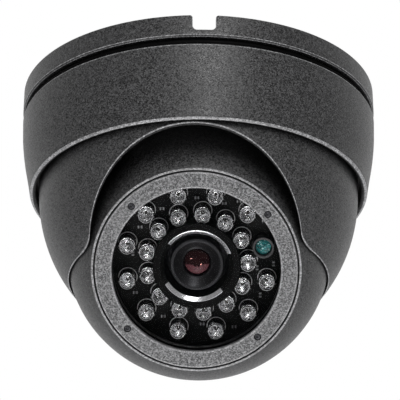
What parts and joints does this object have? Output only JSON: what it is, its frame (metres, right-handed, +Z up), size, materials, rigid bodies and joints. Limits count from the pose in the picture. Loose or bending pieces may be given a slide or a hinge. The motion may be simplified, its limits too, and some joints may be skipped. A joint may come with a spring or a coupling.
{
  "type": "dome camera",
  "caption": "Ceiling dome camera: round base, screwed clamp ring, arched panning hood and a tilting, rolling eyeball with infrared LEDs round a lens behind a window.",
  "frame": {"origin": "centre of the base's ceiling face", "axes": "+Z up into the ceiling, -Y the way the hood and lens face, X along the tilt axis"},
  "size_m": [0.094, 0.094, 0.0811],
  "materials": {
    "body_paint": "satin charcoal powder coat with a fine pale speckle, over die-cast aluminium",
    "bezel_paint": "satin charcoal-grey powder coat with a coarser speckle, over turned aluminium",
    "black_rubber": "matte",
    "nylon": "satin",
    "steel": "satin",
    "black_steel": "satin black oxide",
    "window_glass": "gloss",
    "black_board": "satin black solder mask",
    "green_board": "satin green solder mask",
    "black_plastic": "satin",
    "photocell_resin": "gloss",
    "led_epoxy": "gloss water-clear epoxy",
    "lens_metal": "satin black anodised",
    "lens_glass": "gloss with a pink coating",
    "sensor_chip": "gloss",
    "brass": "satin",
    "wire_jacket": "satin"
  },
  "bodies": {
    "base": {"mounting_base": "body_paint", "base_seal": "black_rubber", "cable_grommet": "black_rubber", "pan_friction_ring": "nylon"},
    "clamp_ring": {"clamp_ring": "body_paint", "ring_lock_screw": "black_steel"},
    "hood": {"hood": "body_paint"},
    "tilt_bracket": {"tilt_bracket": "steel", "tilt_pivot_left": "steel", "tilt_pivot_right": "steel"},
    "eyeball": {"eyeball_housing": "body_paint", "bezel_ring": "bezel_paint", "bezel_screw_1": "black_steel", "bezel_screw_2": "black_steel", "bezel_screw_3": "black_steel", "bezel_screw_4": "black_steel", "front_window": "window_glass", "window_gasket": "black_rubber", "cable_gland": "black_rubber", "bracket_nut": "black_steel", "led_board": "black_board", "photocell_sleeve": "black_plastic", "photocell": "photocell_resin", "led_outer_2": "led_epoxy", "led_outer_3": "led_epoxy", "led_outer_4": "led_epoxy", "led_outer_5": "led_epoxy", "led_outer_6": "led_epoxy", "led_outer_7": "led_epoxy", "led_outer_8": "led_epoxy", "led_outer_9": "led_epoxy", "led_outer_10": "led_epoxy", "led_outer_11": "led_epoxy", "led_outer_12": "led_epoxy", "led_inner_1": "led_epoxy", "led_inner_2": "led_epoxy", "led_inner_3": "led_epoxy", "led_inner_4": "led_epoxy", "led_inner_5": "led_epoxy", "led_inner_6": "led_epoxy", "led_inner_7": "led_epoxy", "led_inner_8": "led_epoxy", "led_inner_9": "led_epoxy", "led_inner_10": "led_epoxy", "led_inner_11": "led_epoxy", "led_inner_12": "led_epoxy", "led_inner_13": "led_epoxy", "lens_shroud": "black_rubber", "lens_barrel": "lens_metal", "lens_front_glass": "lens_glass", "lens_lock_ring": "lens_metal", "lens_holder": "black_plastic", "image_sensor": "sensor_chip", "sensor_board": "green_board", "power_board": "green_board", "board_standoff_1": "brass", "board_standoff_2": "brass", "board_standoff_3": "brass", "board_connector": "black_plastic", "led_harness": "wire_jacket"}
  },
  "joints": [
    {"name": "clamp_ring_turn", "type": "hinge", "parent": "base", "child": "clamp_ring", "pos_m": [0, 0, -0.019], "axis": [0, 0, 1], "range_deg": [-90, 0]},
    {"name": "hood_pan", "type": "hinge", "parent": "base", "child": "hood", "pos_m": [0, 0, -0.0307], "axis": [0, 0, 1], "range_deg": [-175, 175]},
    {"name": "eyeball_tilt", "type": "hinge", "parent": "hood", "child": "tilt_bracket", "pos_m": [0, 0, -0.0458], "axis": [1, 0, 0], "range_deg": [-17, 48]},
    {"name": "eyeball_roll", "type": "hinge", "parent": "tilt_bracket", "child": "eyeball", "pos_m": [0, 0, -0.0458], "axis": [0, -0.7431, -0.6691], "range_deg": [-90, 90]}
  ]
}
